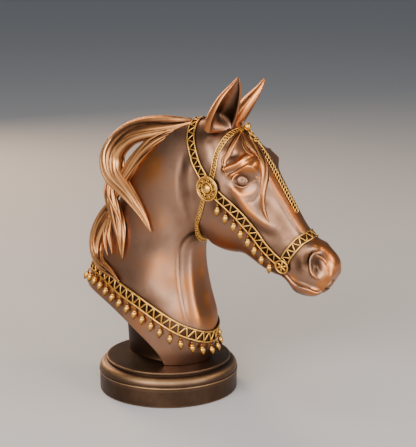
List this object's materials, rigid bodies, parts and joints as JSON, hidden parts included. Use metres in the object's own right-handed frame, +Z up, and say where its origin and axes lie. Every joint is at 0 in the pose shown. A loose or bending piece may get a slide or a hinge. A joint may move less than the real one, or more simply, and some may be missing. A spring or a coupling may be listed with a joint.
{
  "type": "horse head statue",
  "caption": "Patinated bronze horse-head bust with a windswept mane, pierced gilt halter, breast collar and hanging drops, on a post and round turned plinth.",
  "frame": {"origin": "centre of the felt face that the plinth stands on", "axes": "+X the way the horse faces, +Z up, -Y the horse's right side"},
  "size_m": [0.2582, 0.1312, 0.2986],
  "materials": {
    "bronze_skin": "satin dark-brown patina rubbed back to copper on the high parts",
    "bronze_hair": "satin copper-brown patina, lighter than the skin",
    "antique_gold": "antique gilt with dark wax left in the recesses",
    "dark_bronze": "near-black brown patina",
    "plinth_bronze": "dark bronze lacquer with a soft gold-brown sheen",
    "zinc_steel": "zinc plated, hidden",
    "cast_brass": "raw casting, hidden",
    "felt": "black pressed felt"
  },
  "bodies": {
    "root": {"neck_casting": "bronze_skin", "head_casting": "bronze_skin", "right_ear": "bronze_skin", "left_ear": "bronze_skin", "mane_loop_lock": "bronze_hair", "mane_middle_lock": "bronze_hair", "mane_crest_lock": "bronze_hair", "mane_lower_lock": "bronze_hair", "mane_wisps": "bronze_hair", "forelock_front": "bronze_hair", "forelock_side": "bronze_hair", "breast_collar": "antique_gold", "collar_drops_right": "antique_gold", "collar_drops_left": "antique_gold", "crown_strap": "antique_gold", "brow_band": "antique_gold", "throat_strap": "antique_gold", "cheek_strap_right": "antique_gold", "cheek_strap_left": "antique_gold", "noseband": "antique_gold", "face_chain": "antique_gold", "cheek_rosette_right": "antique_gold", "cheek_rosette_left": "antique_gold", "cheek_stud_right": "antique_gold", "cheek_stud_left": "antique_gold", "nose_rosette_right": "antique_gold", "nose_rosette_left": "antique_gold", "nose_stud_right": "antique_gold", "nose_stud_left": "antique_gold", "cheek_drops_right": "antique_gold", "cheek_drops_left": "antique_gold", "brow_bead": "antique_gold", "brow_ring": "antique_gold", "support_post": "dark_bronze", "underside_plate": "dark_bronze", "tie_rod": "zinc_steel", "tie_rod_nut": "zinc_steel", "tie_rod_washer": "zinc_steel", "anchor_bridge": "cast_brass", "seam_sleeve": "cast_brass", "plinth": "plinth_bronze", "felt_pad": "felt"}
  },
  "joints": []
}
